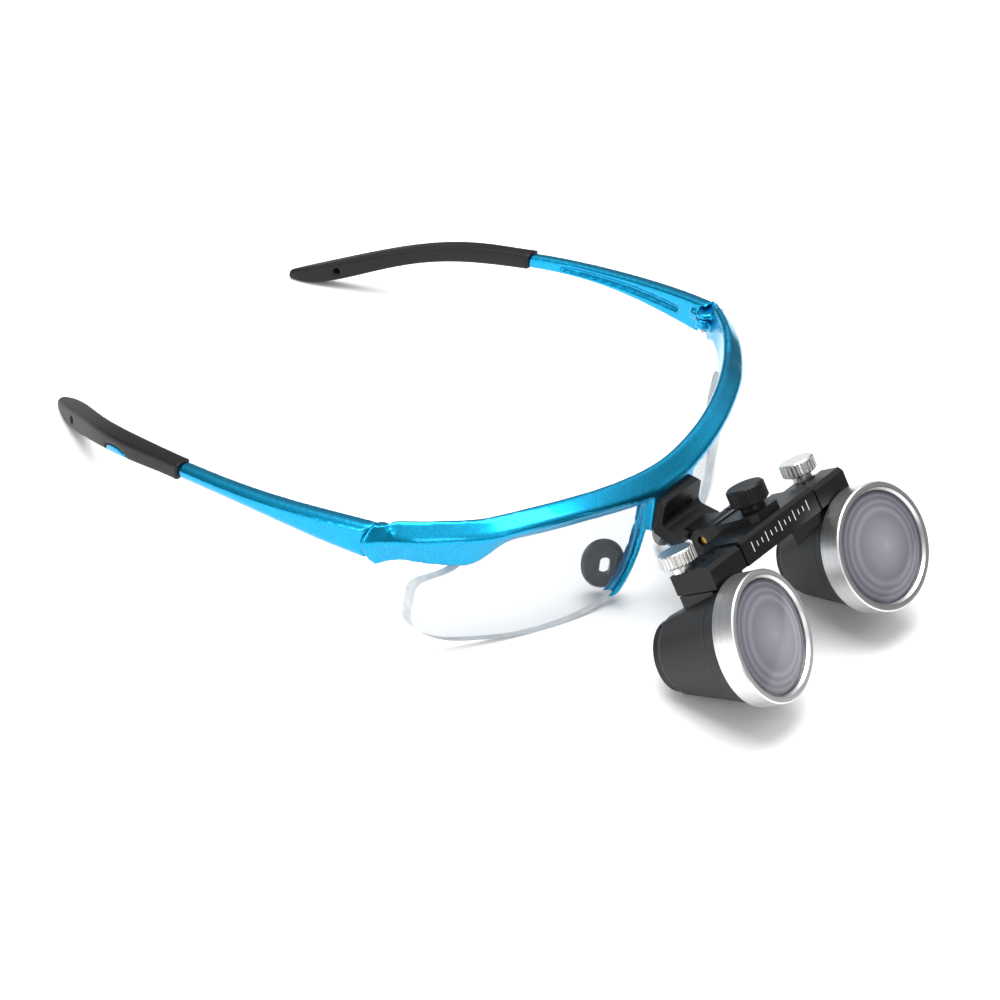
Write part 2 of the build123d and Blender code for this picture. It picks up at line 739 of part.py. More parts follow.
# ---------------------------------------------------------------- carriages and barrels
converge = math.radians(convergence)
shoe_middle = (shoe_inner_x + shoe_outer_x) / 2
shoe_top = rod_height + rod_radius + shoe_lift + shoe_height
for name, side in sides:
    middle = (carriage_inner + carriage_outer) / 2
    width = carriage_outer - carriage_inner
    with BuildPart() as carriage:
        with BuildSketch(optics_side(side * carriage_inner)):
            with BuildLine():
                Polyline(
                    (bar_rear, carriage_bottom),
                    (bar_rear, carriage_step),
                    (rear_rod_reach + 2.7, carriage_step),
                    (rear_rod_reach + 3.4, carriage_top),
                    (bar_front - 1.0, carriage_top),
                    (bar_front, carriage_top - 1.0),
                    (bar_front, carriage_bottom),
                    (bar_rear, carriage_bottom),
                )
            make_face()
        extrude(amount=-side * width)
        for reach in (rear_rod_reach, front_rod_reach):
            with BuildSketch(Plane(origin=in_optics(side * carriage_inner, reach, rod_height), z_dir=(side, 0, 0))):
                Circle(rod_radius + 0.04)
            extrude(amount=width - 0.7, mode=Mode.SUBTRACT)
        with BuildSketch(optics_up(side * lock_x, lock_reach, rod_height)):
            Circle(lock_stem + 0.05)
        extrude(amount=8, mode=Mode.SUBTRACT)
        with BuildSketch(optics_up(side * shoe_middle, rear_rod_reach, rod_height)):
            Rectangle(shoe_outer_x - shoe_inner_x + 0.1, shoe_width + 0.1)
        extrude(amount=shoe_top + 0.05 - rod_height, mode=Mode.SUBTRACT)
        with BuildSketch(optics_up(0, 0, carriage_bottom)):
            for x in foot_screws_x:
                with Locations((side * x, -foot_screw_reach)):
                    Circle(foot_screw_radius)
        extrude(amount=8, mode=Mode.SUBTRACT)
        with BuildSketch(optics_up(0, 0, foot_screw_seat)):
            for x in foot_screws_x:
                with Locations((side * x, -foot_screw_reach)):
                    Circle(foot_screw_head + 0.05)
        extrude(amount=3, mode=Mode.SUBTRACT)
    finish(carriage, f"{name}_carriage")

    with BuildPart() as clamp_shoe:
        with BuildSketch(optics_up(side * shoe_middle, rear_rod_reach, shoe_top)):
            Rectangle(shoe_outer_x - shoe_inner_x, shoe_width)
        extrude(amount=-shoe_height)
    finish(clamp_shoe, f"{name}_clamp_shoe")

    with BuildPart(optics_up(side * lock_x, lock_reach, lock_top - lock_knurl)) as thumb_screw:
        Cylinder(lock_radius, lock_knurl, align=stand)
        chamfer(thumb_screw.edges().filter_by(GeomType.CIRCLE), length=0.4)
        knurl(lock_radius + 0.1, 28, 0.33, lock_knurl)
        Cylinder(2.5, lock_top - lock_knurl - carriage_step - 0.15, align=hang)
        Cylinder(lock_stem, lock_top - lock_knurl - shoe_top - 0.05, align=hang)
    finish(thumb_screw, f"{name}_thumb_screw")

    # The barrel is turned about its own axis, from profiles in (radius, place along the
    # axis), where 0 is the front rim and the eyepiece is at minus the barrel's length.
    front = in_optics(side * barrel_front_x, barrel_front, barrel_height)
    inward = Vector(side * math.sin(converge), 0, 0)
    look = -optics.y_dir * math.cos(converge) - inward
    barrel_axis = Axis(front, look)
    profile_plane = Plane(origin=front, x_dir=optics.z_dir, z_dir=optics.z_dir.cross(look))

    with BuildPart() as barrel_envelope:
        with BuildSketch(profile_plane):
            Polygon(
                (0, 0),
                (housing_front_radius, 0),
                (housing_front_radius, -bezel_length),
                (housing_rear_radius + 0.5, -body_back + 1.2),
                (housing_rear_radius - 0.4, -body_back),
                (0, -body_back),
                align=None,
            )
        revolve(axis=barrel_axis)

    with BuildPart() as housing:
        with BuildSketch(profile_plane):
            Polygon(
                (glass_seat, -glass_front),
                (neck_radius, -glass_front),
                (neck_radius, -bezel_length),
                (housing_front_radius, -bezel_length),
                (housing_rear_radius + 0.5, -body_back + 1.2),
                (housing_rear_radius - 0.4, -body_back),
                (eye_seat, -body_back),
                (eye_seat, -body_back + 2.4),
                (eye_seat - 0.6, -body_back + 2.4),
                (eye_seat - 0.6, -body_back + 3.2),
                (glass_seat, -9.6),
                (glass_seat, -glass_front),
                align=None,
            )
        revolve(axis=barrel_axis)
    finish(housing, f"{name}_barrel_housing")

    with BuildPart() as foot:
        with BuildSketch(optics_up(side * middle, 0, carriage_bottom - foot_seam)):
            with Locations((0, -(bar_rear + foot_front) / 2)):
                RectangleRounded(width, foot_front - bar_rear, 0.6)
        extrude(amount=-foot_depth)
        with BuildSketch(optics_up(side * middle, 0, carriage_bottom)):
            with Locations((0, -(bar_rear + foot_front) / 2)):
                RectangleRounded(width - 1.2, foot_front - bar_rear - 1.2, 0.6)
        extrude(amount=-foot_seam)
        add(barrel_envelope.part, mode=Mode.SUBTRACT)
        with BuildSketch(optics_up(0, 0, carriage_bottom)):
            for x in foot_screws_x:
                with Locations((side * x, -foot_screw_reach)):
                    Circle(foot_screw_radius)
        extrude(amount=-foot_screw_depth, mode=Mode.SUBTRACT)
    finish(foot, f"{name}_barrel_foot")

    with BuildPart() as foot_screws:
        for x in foot_screws_x:
            with Locations(optics_up(side * x, foot_screw_reach, foot_screw_seat)):
                Cylinder(foot_screw_head, 1.1, align=stand)
                Cylinder(foot_screw_radius, foot_screw_seat - carriage_bottom + foot_screw_depth, align=hang)
                with Locations((0, 0, 0.5)):
                    Cylinder(0.65, 0.6, align=stand, mode=Mode.SUBTRACT)
    finish(foot_screws, f"{name}_foot_screws")

    with BuildPart() as bezel:
        with BuildSketch(profile_plane):
            Polygon(
                (glass_radius + 0.5, 0),
                (bezel_radius - 0.3, 0),
                (bezel_radius, -0.3),
                (bezel_radius, -bezel_length),
                (neck_radius, -bezel_length),
                (neck_radius, -glass_front),
                (glass_radius, -glass_front),
                (glass_radius, -glass_front + 0.3),
                align=None,
            )
        revolve(axis=barrel_axis)
    finish(bezel, f"{name}_objective_bezel")

    # The objective is a cemented pair: a convex front element on a concave rear one.
    with BuildPart() as front_element:
        with BuildSketch(profile_plane):
            with BuildLine():
                dome(glass_radius - 0.1, glass_crown, -glass_front)
                Line((glass_radius - 0.1, -glass_front), (glass_seat, -glass_front))
                Line((glass_seat, -glass_front), (glass_seat, -4.0))
                dome(glass_seat, -6.2, -4.0)
                Line((0, -6.2), (0, glass_crown))
            make_face()
        revolve(axis=barrel_axis)
    finish(front_element, f"{name}_objective_front_element")

    with BuildPart() as rear_element:
        with BuildSketch(profile_plane):
            with BuildLine():
                dome(glass_seat, -6.2, -4.0)
                Line((glass_seat, -4.0), (glass_seat, -7.6))
                Line((glass_seat, -7.6), (0, -7.6))
                Line((0, -7.6), (0, -6.2))
            make_face()
        revolve(axis=barrel_axis)
    finish(rear_element, f"{name}_objective_rear_element")

    with BuildPart() as retaining_ring:
        with BuildSketch(profile_plane):
            Polygon(
                (glass_seat, -7.6),
                (glass_seat, -9.0),
                (glass_seat - 1.6, -9.0),
                (glass_seat - 1.2, -7.6),
                align=None,
            )
        revolve(axis=barrel_axis)
    finish(retaining_ring, f"{name}_retaining_ring")

    with BuildPart() as eyepiece_lens:
        with BuildSketch(profile_plane):
            with BuildLine():
                dome(eye_seat - 0.6, eye_front - 0.8, eye_front)
                Line((eye_seat - 0.6, eye_front), (eye_seat, eye_front))
                Line((eye_seat, eye_front), (eye_seat, -body_back))
                Line((eye_seat, -body_back), (eye_seat - 0.8, -body_back))
                dome(eye_seat - 0.8, -body_back + 0.6, -body_back)
                Line((0, -body_back + 0.6), (0, eye_front - 0.8))
            make_face()
        revolve(axis=barrel_axis)
    finish(eyepiece_lens, f"{name}_eyepiece_lens")

    with BuildPart() as eyepiece_ring:
        with BuildSketch(profile_plane):
            Polygon(
                (eye_seat - 0.8, -body_back),
                (housing_rear_radius - 0.4, -body_back),
                (eyepiece_radius, -barrel_length + 0.4),
                (eyepiece_radius - 0.5, -barrel_length),
                (eye_seat - 0.2, -barrel_length),
                (eye_seat - 0.8, -barrel_length + 0.8),
                align=None,
            )
        revolve(axis=barrel_axis)
    finish(eyepiece_ring, f"{name}_eyepiece_ring")
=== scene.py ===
import json
import math

import bpy
from mathutils import Matrix, Vector


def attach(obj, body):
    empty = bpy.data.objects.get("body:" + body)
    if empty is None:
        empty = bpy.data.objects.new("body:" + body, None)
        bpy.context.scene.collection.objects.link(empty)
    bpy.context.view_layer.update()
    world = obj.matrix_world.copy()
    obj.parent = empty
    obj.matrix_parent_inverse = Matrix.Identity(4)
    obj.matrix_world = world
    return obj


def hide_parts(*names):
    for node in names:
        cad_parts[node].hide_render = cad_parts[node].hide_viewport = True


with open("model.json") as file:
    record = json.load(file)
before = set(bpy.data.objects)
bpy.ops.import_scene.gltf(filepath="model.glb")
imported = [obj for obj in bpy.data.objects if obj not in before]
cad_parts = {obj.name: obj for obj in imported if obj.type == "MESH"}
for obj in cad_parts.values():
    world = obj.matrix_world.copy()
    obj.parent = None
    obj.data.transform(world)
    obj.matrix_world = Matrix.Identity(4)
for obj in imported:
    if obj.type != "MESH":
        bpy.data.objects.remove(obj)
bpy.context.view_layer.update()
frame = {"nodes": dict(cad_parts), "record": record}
nodes = frame["nodes"]
slotOf = {part["node"]: part["material_slot"] for part in frame["record"]["subparts"]}
mm = 0.001
print("frame loaded:", len(nodes), "nodes")


def linear(hexColour):
    values = [int(hexColour[i:i + 2], 16) / 255 for i in (1, 3, 5)]
    return (*[v / 12.92 if v <= 0.04045 else ((v + 0.055) / 1.055) ** 2.4 for v in values], 1.0)


def grey(value):
    return (value, value, value, 1)


def addNode(tree, kind, settings=None, inputs=None, links=None, stops=None):
    # settings are the node's own choices, inputs its fixed values, links its wired sockets
    # and stops the colours of a ramp
    node = tree.nodes.new(kind)
    for key, value in (settings or {}).items():
        setattr(node, key, value)
    for key, value in (inputs or {}).items():
        node.inputs[key].default_value = value
    for key, socket in (links or {}).items():
        tree.links.new(socket, node.inputs[key])
    for index, (position, colour) in enumerate(stops or []):
        elements = node.color_ramp.elements
        element = elements[index] if index < len(elements) else elements.new(position)
        element.position = position
        element.color = colour
    return node


def startMaterial(name):
    material = bpy.data.materials.new(name)
    material.use_nodes = True
    tree = material.node_tree
    tree.nodes.clear()
    place = addNode(tree, "ShaderNodeTexCoord").outputs["Object"]
    return material, tree, place


def endMaterial(tree, shader):
    addNode(tree, "ShaderNodeOutputMaterial", links={"Surface": shader.outputs[0]})


# Metallic lacquer over a moulded plastic: a strong blue that goes cyan where it faces the
# light, a fine flake, and a clear coat that keeps the highlights sharp.
blueLacquer = {
    "base": "#00B2DA", "deep": "#007DB6", "flakeMm": 0.16, "metallic": 0.93,
    "rough": (0.24, 0.34), "coat": 0.3, "coatRoughness": 0.05, "coatIor": 1.5,
    "waveMm": 11.1, "waveStrength": 0.04, "waveHeight": 0.4,
}
lacquerMaterial, tree, place = startMaterial("metallicBlueLacquer")
flake = addNode(
    tree, "ShaderNodeTexVoronoi", inputs={"Scale": 1 / (blueLacquer["flakeMm"] * mm)},
    links={"Vector": place},
)
flakeTone = addNode(tree, "ShaderNodeMapRange", links={"Value": flake.outputs["Color"]})
body = addNode(
    tree, "ShaderNodeValToRGB", links={"Fac": flakeTone.outputs[0]},
    stops=[(0.0, linear(blueLacquer["deep"])), (1.0, linear(blueLacquer["base"]))],
)
rough = addNode(
    tree, "ShaderNodeMapRange",
    inputs={"To Min": blueLacquer["rough"][0], "To Max": blueLacquer["rough"][1]},
    links={"Value": flake.outputs["Distance"]},
)
waviness = addNode(
    tree, "ShaderNodeTexNoise", inputs={"Scale": 1 / (blueLacquer["waveMm"] * mm), "Detail": 1},
    links={"Vector": place},
)
bump = addNode(
    tree, "ShaderNodeBump",
    inputs={"Strength": blueLacquer["waveStrength"], "Distance": blueLacquer["waveHeight"] * mm},
    links={"Height": waviness.outputs[0]},
)
shader = addNode(
    tree, "ShaderNodeBsdfPrincipled",
    inputs={
        "Metallic": blueLacquer["metallic"], "Coat Weight": blueLacquer["coat"],
        "Coat Roughness": blueLacquer["coatRoughness"], "Coat IOR": blueLacquer["coatIor"],
    },
    links={"Base Color": body.outputs[0], "Roughness": rough.outputs[0], "Normal": bump.outputs[0]},
)
endMaterial(tree, shader)

# Thermoplastic rubber of the temple ends: dull black with a fine grain.
rubberLook = {
    "dark": "#0A090A", "light": "#141213", "grainMm": 0.385, "cloudMm": 16.7,
    "rough": (0.42, 0.6), "grainStrength": 0.25, "grainHeight": 0.06, "specular": 0.3,
}
tipRubber, tree, place = startMaterial("matteTipRubber")
grain = addNode(
    tree, "ShaderNodeTexNoise", inputs={"Scale": 1 / (rubberLook["grainMm"] * mm), "Detail": 3},
    links={"Vector": place},
)
cloud = addNode(
    tree, "ShaderNodeTexNoise", inputs={"Scale": 1 / (rubberLook["cloudMm"] * mm), "Detail": 2},
    links={"Vector": place},
)
tone = addNode(
    tree, "ShaderNodeValToRGB", links={"Fac": cloud.outputs[0]},
    stops=[(0.3, linear(rubberLook["dark"])), (0.7, linear(rubberLook["light"]))],
)
rough = addNode(
    tree, "ShaderNodeMapRange",
    inputs={"To Min": rubberLook["rough"][0], "To Max": rubberLook["rough"][1]},
    links={"Value": grain.outputs[0]},
)
bump = addNode(
    tree, "ShaderNodeBump",
    inputs={"Strength": rubberLook["grainStrength"], "Distance": rubberLook["grainHeight"] * mm},
    links={"Height": grain.outputs[0]},
)
shader = addNode(
    tree, "ShaderNodeBsdfPrincipled", inputs={"Specular IOR Level": rubberLook["specular"]},
    links={"Base Color": tone.outputs[0], "Roughness": rough.outputs[0], "Normal": bump.outputs[0]},
)
endMaterial(tree, shader)

# Soft silicone rubber of the nose pads: dark, smooth and slightly see-through at its rim.
padLook = {
    "dark": "#101214", "light": "#1A1D1F", "cloudMm": 4.0, "rough": 0.32, "ior": 1.41,
    "subsurface": 0.1, "subsurfaceMm": 1.0,
}
padRubber, tree, place = startMaterial("smokedSiliconeRubber")
cloud = addNode(
    tree, "ShaderNodeTexNoise", inputs={"Scale": 1 / (padLook["cloudMm"] * mm), "Detail": 2},
    links={"Vector": place},
)
tone = addNode(
    tree, "ShaderNodeValToRGB", links={"Fac": cloud.outputs[0]},
    stops=[(0.3, linear(padLook["dark"])), (0.7, linear(padLook["light"]))],
)
shader = addNode(
    tree, "ShaderNodeBsdfPrincipled",
    inputs={
        "Roughness": padLook["rough"], "IOR": padLook["ior"],
        "Subsurface Weight": padLook["subsurface"], "Subsurface Scale": padLook["subsurfaceMm"] * mm,
    },
    links={"Base Color": tone.outputs[0]},
)
endMaterial(tree, shader)

# Polished clear polycarbonate: nearly invisible on its face, a little greyer at a slant.
sheetLook = {
    "gloss": "#C9D2D8", "clear": "#E9EAEB", "ior": 1.585, "hazeMm": 28.6, "rough": (0.02, 0.05),
    "facing": 0.2, "glossShare": (0.03, 0.22),
}
clearSheet, tree, place = startMaterial("clearPolycarbonate")
facing = addNode(tree, "ShaderNodeLayerWeight", inputs={"Blend": sheetLook["facing"]})
haze = addNode(
    tree, "ShaderNodeTexNoise", inputs={"Scale": 1 / (sheetLook["hazeMm"] * mm), "Detail": 2},
    links={"Vector": place},
)
rough = addNode(
    tree, "ShaderNodeMapRange",
    inputs={"To Min": sheetLook["rough"][0], "To Max": sheetLook["rough"][1]},
    links={"Value": haze.outputs[0]},
)
gloss = addNode(
    tree, "ShaderNodeBsdfPrincipled",
    inputs={"Base Color": linear(sheetLook["gloss"]), "IOR": sheetLook["ior"]},
    links={"Roughness": rough.outputs[0]},
)
clear = addNode(tree, "ShaderNodeBsdfTransparent", inputs={"Color": linear(sheetLook["clear"])})
amount = addNode(
    tree, "ShaderNodeMapRange",
    inputs={"To Min": sheetLook["glossShare"][0], "To Max": sheetLook["glossShare"][1]},
    links={"Value": facing.outputs["Facing"]},
)
shader = addNode(
    tree, "ShaderNodeMixShader",
    links={0: amount.outputs[0], 1: clear.outputs[0], 2: gloss.outputs[0]},
)
endMaterial(tree, shader)

# The sheet's ground edge: light gathers in it, so it reads as a thin pale grey line.
edgeLook = {"dark": "#B4B9BC", "light": "#CDD1D3", "cloudMm": 2.5, "rough": 0.35, "ior": 1.585}
sheetEdge, tree, place = startMaterial("groundPolycarbonateEdge")
cloud = addNode(
    tree, "ShaderNodeTexNoise", inputs={"Scale": 1 / (edgeLook["cloudMm"] * mm), "Detail": 2},
    links={"Vector": place},
)
tone = addNode(
    tree, "ShaderNodeValToRGB", links={"Fac": cloud.outputs[0]},
    stops=[(0.3, linear(edgeLook["dark"])), (0.7, linear(edgeLook["light"]))],
)
shader = addNode(
    tree, "ShaderNodeBsdfPrincipled",
    inputs={"Roughness": edgeLook["rough"], "IOR": edgeLook["ior"]},
    links={"Base Color": tone.outputs[0]},
)
endMaterial(tree, shader)

# Black anodised aluminium: milled, blasted, with a faint sheen on its faces.
anodisedLook = {
    "dark": "#0C0C0D", "light": "#161617", "blastMm": 0.3125, "rough": (0.36, 0.48),
    "strength": 0.2, "height": 0.04, "metallic": 0.35, "specular": 0.4,
}
blackAnodised, tree, place = startMaterial("blackAnodisedAluminium")
blast = addNode(
    tree, "ShaderNodeTexNoise", inputs={"Scale": 1 / (anodisedLook["blastMm"] * mm), "Detail": 2},
    links={"Vector": place},
)
tone = addNode(
    tree, "ShaderNodeValToRGB", links={"Fac": blast.outputs[0]},
    stops=[(0.3, linear(anodisedLook["dark"])), (0.75, linear(anodisedLook["light"]))],
)
rough = addNode(
    tree, "ShaderNodeMapRange",
    inputs={"To Min": anodisedLook["rough"][0], "To Max": anodisedLook["rough"][1]},
    links={"Value": blast.outputs[0]},
)
bump = addNode(
    tree, "ShaderNodeBump",
    inputs={"Strength": anodisedLook["strength"], "Distance": anodisedLook["height"] * mm},
    links={"Height": blast.outputs[0]},
)
shader = addNode(
    tree, "ShaderNodeBsdfPrincipled",
    inputs={"Metallic": anodisedLook["metallic"], "Specular IOR Level": anodisedLook["specular"]},
    links={"Base Color": tone.outputs[0], "Roughness": rough.outputs[0], "Normal": bump.outputs[0]},
)
endMaterial(tree, shader)

# Fine matt black coat of the barrels: soft, with almost no highlight.
barrelLook = {
    "dark": "#0C0C0D", "light": "#151516", "gritMm": 0.4167, "strength": 0.35, "height": 0.06,
    "rough": 0.45, "specular": 0.35,
}
barrelBlack, tree, place = startMaterial("fineMattBlackCoat")
grit = addNode(
    tree, "ShaderNodeTexNoise", inputs={"Scale": 1 / (barrelLook["gritMm"] * mm), "Detail": 4},
    links={"Vector": place},
)
tone = addNode(
    tree, "ShaderNodeValToRGB", links={"Fac": grit.outputs[0]},
    stops=[(0.3, linear(barrelLook["dark"])), (0.7, linear(barrelLook["light"]))],
)
bump = addNode(
    tree, "ShaderNodeBump",
    inputs={"Strength": barrelLook["strength"], "Distance": barrelLook["height"] * mm},
    links={"Height": grit.outputs[0]},
)
shader = addNode(
    tree, "ShaderNodeBsdfPrincipled",
    inputs={"Roughness": barrelLook["rough"], "Specular IOR Level": barrelLook["specular"]},
    links={"Base Color": tone.outputs[0], "Normal": bump.outputs[0]},
)
endMaterial(tree, shader)

# Bright nickel-plated screw heads and plain turned steel: pale, with a satin sheen.
platedLook = {"dark": "#C6C5C3", "light": "#DEDDDB", "wearMm": 1.11, "rough": (0.3, 0.38)}
plated, tree, place = startMaterial("nickelPlatedSteel")
wear = addNode(
    tree, "ShaderNodeTexNoise", inputs={"Scale": 1 / (platedLook["wearMm"] * mm), "Detail": 2},
    links={"Vector": place},
)
tone = addNode(
    tree, "ShaderNodeValToRGB", links={"Fac": wear.outputs[0]},
    stops=[(0.3, linear(platedLook["dark"])), (0.7, linear(platedLook["light"]))],
)
rough = addNode(
    tree, "ShaderNodeMapRange",
    inputs={"To Min": platedLook["rough"][0], "To Max": platedLook["rough"][1]},
    links={"Value": wear.outputs[0]},
)
shader = addNode(
    tree, "ShaderNodeBsdfPrincipled", inputs={"Metallic": 1.0},
    links={"Base Color": tone.outputs[0], "Roughness": rough.outputs[0]},
)
endMaterial(tree, shader)

# Turned brass of the flip pin: warm and slightly dulled.
brassLook = {"dark": "#A07C3C", "light": "#C9A25A", "wearMm": 0.833, "rough": 0.3}
brass, tree, place = startMaterial("turnedBrass")
wear = addNode(
    tree, "ShaderNodeTexNoise", inputs={"Scale": 1 / (brassLook["wearMm"] * mm), "Detail": 2},
    links={"Vector": place},
)
tone = addNode(
    tree, "ShaderNodeValToRGB", links={"Fac": wear.outputs[0]},
    stops=[(0.3, linear(brassLook["dark"])), (0.7, linear(brassLook["light"]))],
)
shader = addNode(
    tree, "ShaderNodeBsdfPrincipled", inputs={"Metallic": 1.0, "Roughness": brassLook["rough"]},
    links={"Base Color": tone.outputs[0]},
)
endMaterial(tree, shader)

# Grooved inner wall of a barrel: anodised grey, so that the rings show through the glass.
wallLook = {
    "dark": "#5D5D68", "light": "#72727E", "cloudMm": 2.0, "metallic": 0.6, "rough": 0.35,
}
innerWall, tree, place = startMaterial("groovedTubeWall")
cloud = addNode(
    tree, "ShaderNodeTexNoise", inputs={"Scale": 1 / (wallLook["cloudMm"] * mm), "Detail": 2},
    links={"Vector": place},
)
tone = addNode(
    tree, "ShaderNodeValToRGB", links={"Fac": cloud.outputs[0]},
    stops=[(0.3, linear(wallLook["dark"])), (0.7, linear(wallLook["light"]))],
)
shader = addNode(
    tree, "ShaderNodeBsdfPrincipled",
    inputs={"Metallic": wallLook["metallic"], "Roughness": wallLook["rough"]},
    links={"Base Color": tone.outputs[0]},
)
endMaterial(tree, shader)

# White enamel rubbed into the engraved scale: flat and bright against the black.
enamelLook = {"dark": "#D9D9D7", "light": "#EFEFED", "cloudMm": 1.11, "rough": 0.5}
enamel, tree, place = startMaterial("whiteFillEnamel")
cloud = addNode(
    tree, "ShaderNodeTexNoise", inputs={"Scale": 1 / (enamelLook["cloudMm"] * mm), "Detail": 2},
    links={"Vector": place},
)
tone = addNode(
    tree, "ShaderNodeValToRGB", links={"Fac": cloud.outputs[0]},
    stops=[(0.3, linear(enamelLook["dark"])), (0.7, linear(enamelLook["light"]))],
)
shader = addNode(
    tree, "ShaderNodeBsdfPrincipled", inputs={"Roughness": enamelLook["rough"]},
    links={"Base Color": tone.outputs[0]},
)
endMaterial(tree, shader)

# Where the temples turn, and the flip unit's own directions and places.
hingeX = 64.6
hingePlace = Vector((0, -14.3, 30.74)) * mm
flipUnit = {
    "pitch": 36.0, "pinY": -49.9, "pinZ": -6.0, "converge": 6.04,
    "frontX": 23.7, "frontReach": 24.1, "frontHeight": -19.5,
}
pitch = math.radians(flipUnit["pitch"])
ahead = Vector((0, -math.cos(pitch), math.sin(pitch)))
above = Vector((0, math.sin(pitch), math.cos(pitch)))
pinPlace = hingePlace + Vector((0, flipUnit["pinY"], flipUnit["pinZ"])) * mm


def onFlipUnit(x, reach, height):
    return pinPlace + (Vector((x, 0, 0)) + ahead * reach + above * height) * mm


barrels = {}
for side, sign in (("right", -1), ("left", 1)):
    converge = math.radians(flipUnit["converge"])
    look = ahead * math.cos(converge) + Vector((-sign * math.sin(converge), 0, 0))
    front = onFlipUnit(sign * flipUnit["frontX"], flipUnit["frontReach"], flipUnit["frontHeight"])
    barrels[side] = (front, look)


def aboutAxis(tree, place, side):
    # radius from the barrel's axis and place along it, so that a pattern runs round the barrel
    front, look = barrels[side]
    turned = addNode(
        tree, "ShaderNodeMapping", {"vector_type": "TEXTURE"},
        {"Location": front, "Rotation": look.to_track_quat("Z", "Y").to_euler()}, {"Vector": place},
    )
    flat = addNode(
        tree, "ShaderNodeVectorMath", {"operation": "MULTIPLY"}, {1: (1, 1, 0)},
        {0: turned.outputs[0]},
    )
    radius = addNode(
        tree, "ShaderNodeVectorMath", {"operation": "LENGTH"}, links={0: flat.outputs[0]},
    )
    along = addNode(tree, "ShaderNodeSeparateXYZ", links={0: turned.outputs[0]})
    return radius.outputs["Value"], along.outputs["Z"]


# Turned aluminium of the bezels: bright satin, with the fine rings that the tool left.
bezelLook = {"dark": "#C9C9CA", "light": "#E2E2E2", "ringMm": 0.48, "rough": (0.28, 0.4)}
bezelMetal = {}
for side in barrels:
    bezelMetal[side], tree, place = startMaterial(side + "TurnedAluminium")
    radius, along = aboutAxis(tree, place, side)
    ringPlace = addNode(tree, "ShaderNodeCombineXYZ", links={"X": radius, "Y": along})
    rings = addNode(
        tree, "ShaderNodeTexNoise", inputs={"Scale": 1 / (bezelLook["ringMm"] * mm), "Detail": 2},
        links={"Vector": ringPlace.outputs[0]},
    )
    tone = addNode(
        tree, "ShaderNodeValToRGB", links={"Fac": rings.outputs[0]},
        stops=[(0.3, linear(bezelLook["dark"])), (0.7, linear(bezelLook["light"]))],
    )
    rough = addNode(
        tree, "ShaderNodeMapRange",
        inputs={"To Min": bezelLook["rough"][0], "To Max": bezelLook["rough"][1]},
        links={"Value": rings.outputs[0]},
    )
    shader = addNode(
        tree, "ShaderNodeBsdfPrincipled", inputs={"Metallic": 1.0},
        links={"Base Color": tone.outputs[0], "Roughness": rough.outputs[0]},
    )
    endMaterial(tree, shader)

# Coated optical glass with a faint grey-violet tint, under a clean surface gloss. Painted light and
# shade lie on its face: grey-violet rings that stand for the tube's grooves seen through the glass,
# lighter at the centre and darkened towards the rim as painted shade. The rings are colours at
# shares of the glass's radius.
glassLook = {
    "radiusMm": 13.4, "tint": "#E4E4EC", "rough": 0.12, "ior": 1.52, "coat": 0.3,
    "facing": 0.3, "glossShare": (0.62, 0.9),
    # painted light and shade: ring colours that stand for the grooves seen through the glass,
    # lighter at the centre and darker towards the rim
    "rings": [
        (0.0, "#A9A9B2"), (0.35, "#9696A0"), (0.58, "#83838E"), (0.66, "#9898A2"),
        (0.74, "#787883"), (0.79, "#92929C"), (0.86, "#6C6C77"), (0.9, "#8A8A94"),
        (0.96, "#5A5A64"), (1.0, "#44444D"),
    ],
}
barrelGlass = {}
for side in barrels:
    barrelGlass[side], tree, place = startMaterial(side + "CoatedOpticalGlass")
    radius, along = aboutAxis(tree, place, side)
    share = addNode(
        tree, "ShaderNodeMath", {"operation": "MULTIPLY"}, {1: 1 / (glassLook["radiusMm"] * mm)},
        {0: radius},
    )
    # painted rings of light and shade on the glass, laid out by the radius from the barrel's axis
    paintedRingShade = addNode(
        tree, "ShaderNodeValToRGB", links={"Fac": share.outputs[0]},
        stops=[(position, linear(colour)) for position, colour in glassLook["rings"]],
    )
    tint = addNode(tree, "ShaderNodeBsdfTransparent", inputs={"Color": linear(glassLook["tint"])})
    gloss = addNode(
        tree, "ShaderNodeBsdfPrincipled",
        inputs={
            "Roughness": glassLook["rough"], "IOR": glassLook["ior"],
            "Coat Weight": glassLook["coat"],
        },
        links={"Base Color": paintedRingShade.outputs[0]},
    )
    facing = addNode(tree, "ShaderNodeLayerWeight", inputs={"Blend": glassLook["facing"]})
    amount = addNode(
        tree, "ShaderNodeMapRange",
        inputs={"To Min": glassLook["glossShare"][0], "To Max": glassLook["glossShare"][1]},
        links={"Value": facing.outputs["Facing"]},
    )
    shader = addNode(
        tree, "ShaderNodeMixShader",
        links={0: amount.outputs[0], 1: tint.outputs[0], 2: gloss.outputs[0]},
    )
    endMaterial(tree, shader)

# One finish for each of the record's slots, or one a side where the pattern follows a barrel.
finishes = {
    "metallic_blue": lacquerMaterial, "tip_rubber": tipRubber, "pad_rubber": padRubber,
    "clear_sheet": clearSheet, "screw_steel": plated, "black_screw": blackAnodised,
    "black_anodised": blackAnodised, "black_knob": blackAnodised, "bush_plastic": barrelBlack,
    "pin_brass": brass, "bright_metal": plated, "barrel_black": barrelBlack,
    "bezel_aluminium": bezelMetal, "coated_glass": barrelGlass,
}
for name, piece in nodes.items():
    finish = finishes[slotOf[name]]
    if isinstance(finish, dict):
        finish = finish[name.split("_")[0]]
    for index in range(len(piece.material_slots)):
        piece.material_slots[index].material = finish
    if not piece.material_slots:
        piece.data.materials.append(finish)
print("materials assigned")


def deselectAll():
    if bpy.context.object and bpy.context.object.mode != "OBJECT":
        bpy.ops.object.mode_set(mode="OBJECT")
    bpy.ops.object.select_all(action="DESELECT")


smoothAngle = math.radians(30)
weldDistance = 0.001 * mm


